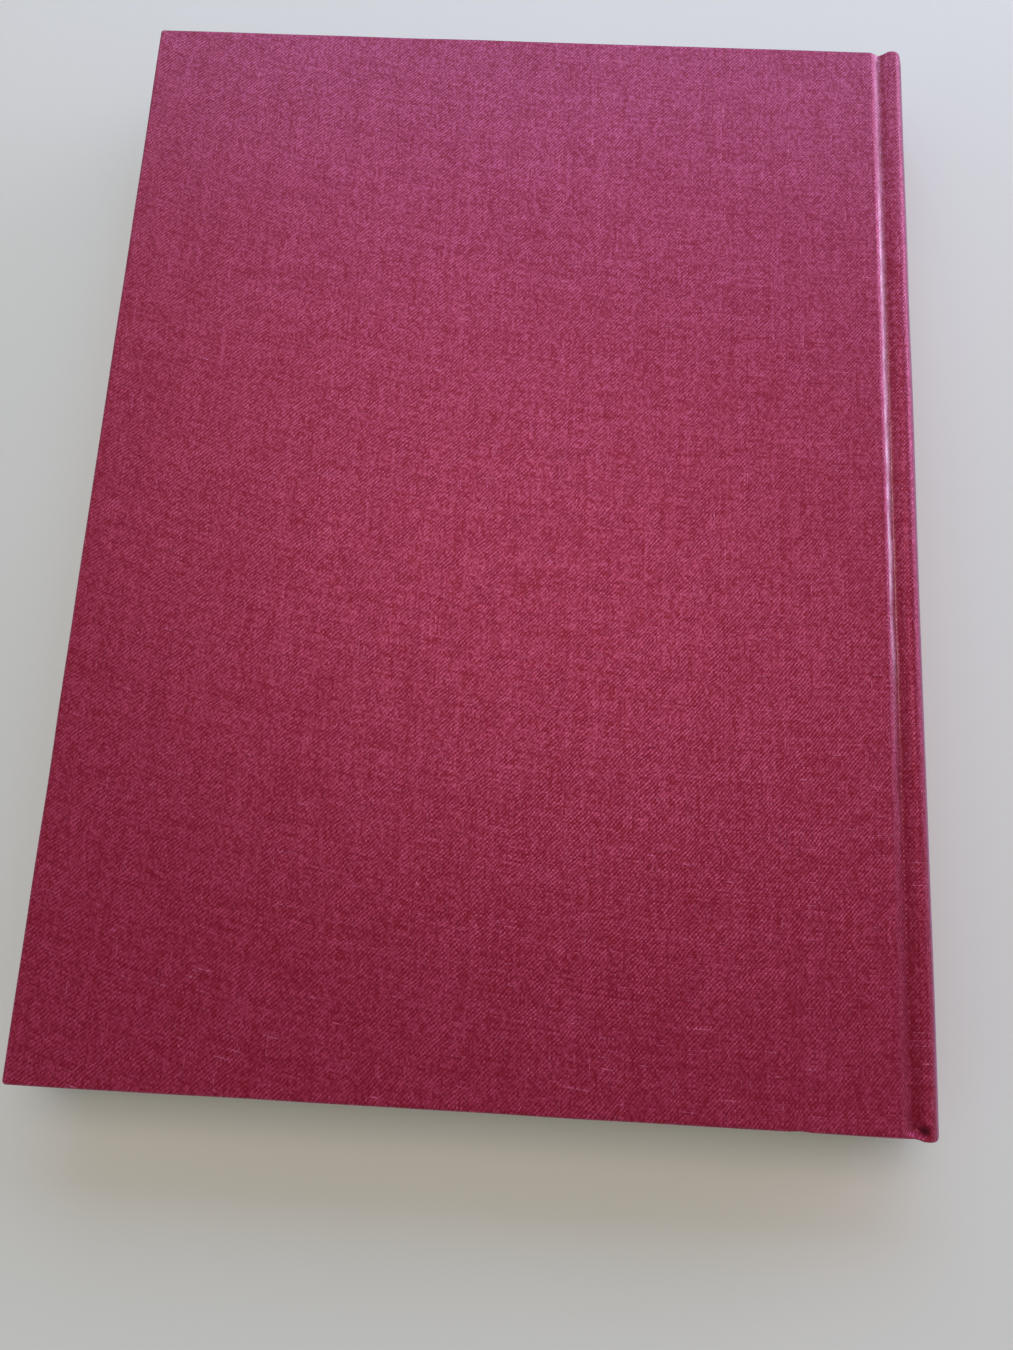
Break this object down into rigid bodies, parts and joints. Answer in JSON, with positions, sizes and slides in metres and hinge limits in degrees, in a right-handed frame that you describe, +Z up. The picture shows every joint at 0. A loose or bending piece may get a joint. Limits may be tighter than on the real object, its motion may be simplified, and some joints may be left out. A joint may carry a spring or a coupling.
{
  "type": "hardback book",
  "caption": "Cloth-bound hardback book with rounded spine, French joints, hollow back and both covers hinged to open flat.",
  "frame": {"origin": "middle of the closed book's footprint, on the surface that the front cover rests on", "axes": "+X from the fore-edge to the spine, +Y from tail to head along the spine, +Z up through the back cover"},
  "size_m": [0.219, 0.2936, 0.0235],
  "materials": {
    "cloth": "wine-red plain-weave book cloth with a faint lilac sheen",
    "leaves": "uncoated cream book paper, cut edges",
    "endpaper": "plain laid cream endpaper",
    "board": "greyboard",
    "mull": "open starched gauze",
    "lining": "brown kraft paper",
    "band": "sewn cotton in wine and cream"
  },
  "bodies": {
    "text_block": {"text_block": "leaves", "back_flyleaf": "endpaper", "front_flyleaf": "endpaper", "spine_mull": "mull", "spine_lining": "lining", "head_band": "band", "tail_band": "band", "spine_inlay": "lining", "spine_cloth": "cloth"},
    "back_cover": {"back_board": "board", "back_cloth": "cloth", "back_mull": "mull", "back_pastedown": "endpaper"},
    "front_cover": {"front_board": "board", "front_cloth": "cloth", "front_mull": "mull", "front_pastedown": "endpaper"}
  },
  "joints": [
    {"name": "back_cover_hinge", "type": "hinge", "parent": "text_block", "child": "back_cover", "pos_m": [0.10318, 0, 0.0221], "axis": [0, 1, 0], "range_deg": [0, 180]},
    {"name": "front_cover_hinge", "type": "hinge", "parent": "text_block", "child": "front_cover", "pos_m": [0.10318, 0, 0.0014], "axis": [0, -1, 0], "range_deg": [0, 180]}
  ]
}
